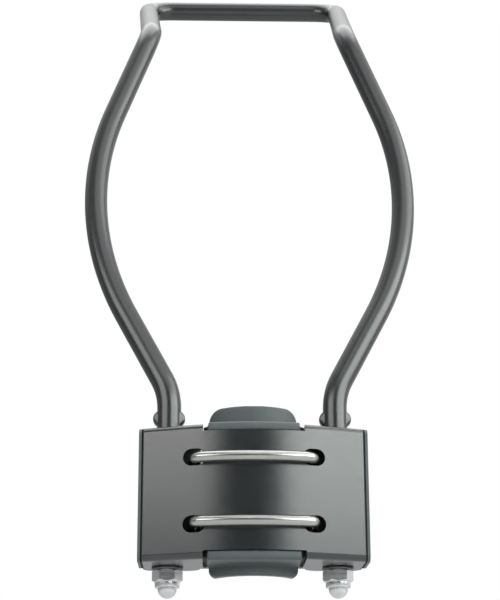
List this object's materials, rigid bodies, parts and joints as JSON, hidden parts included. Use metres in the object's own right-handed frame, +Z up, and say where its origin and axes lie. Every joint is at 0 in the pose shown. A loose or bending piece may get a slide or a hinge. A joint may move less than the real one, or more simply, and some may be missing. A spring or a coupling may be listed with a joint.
{
  "type": "child seat mounting bracket",
  "caption": "Bicycle child seat bracket: pressed steel block with U-bolts and a rear jaw that clamp a seat tube, and a bent rod carrier bow.",
  "frame": {"origin": "on the axis of the clamped seat tube, at the middle of the block's height", "axes": "+Z up along the seat tube, -Y to the front of the block, where the U-bolts' crowns lie, +X to the block's left as a rider sees it from behind"},
  "size_m": [0.151, 0.1957, 0.3612],
  "materials": {
    "powder_coat": "black powder coat, satin, fine grain",
    "grey_plastic": "moulded grey plastic, fine matte grain",
    "pad_rubber": "moulded blue-grey rubber, matte",
    "bright_zinc": "bright zinc plating over drawn and pressed steel",
    "dark_zinc": "dark plated steel",
    "nylon": "natural nylon"
  },
  "bodies": {
    "block": {"carrier_bow": "powder_coat", "pressed_housing": "powder_coat", "end_cap_left": "grey_plastic", "end_cap_right": "grey_plastic", "saddle_pad": "pad_rubber", "leg_washer_left": "dark_zinc", "leg_washer_right": "dark_zinc", "dome_nut_left": "bright_zinc", "dome_nut_right": "bright_zinc", "nylon_ring_left": "nylon", "nylon_ring_right": "nylon", "u_bolt_upper": "bright_zinc", "u_bolt_lower": "bright_zinc"},
    "jaw": {"rear_jaw": "powder_coat", "rear_jaw_pad": "pad_rubber", "clamp_washer_upper_left": "bright_zinc", "clamp_nut_upper_left": "bright_zinc", "clamp_washer_upper_right": "bright_zinc", "clamp_nut_upper_right": "bright_zinc", "clamp_washer_lower_left": "bright_zinc", "clamp_nut_lower_left": "bright_zinc", "clamp_washer_lower_right": "bright_zinc", "clamp_nut_lower_right": "bright_zinc"}
  },
  "joints": [
    {"name": "jaw_slide", "type": "slide", "parent": "block", "child": "jaw", "axis": [0, 1, 0], "range_m": [-0.007, 0.006]}
  ]
}
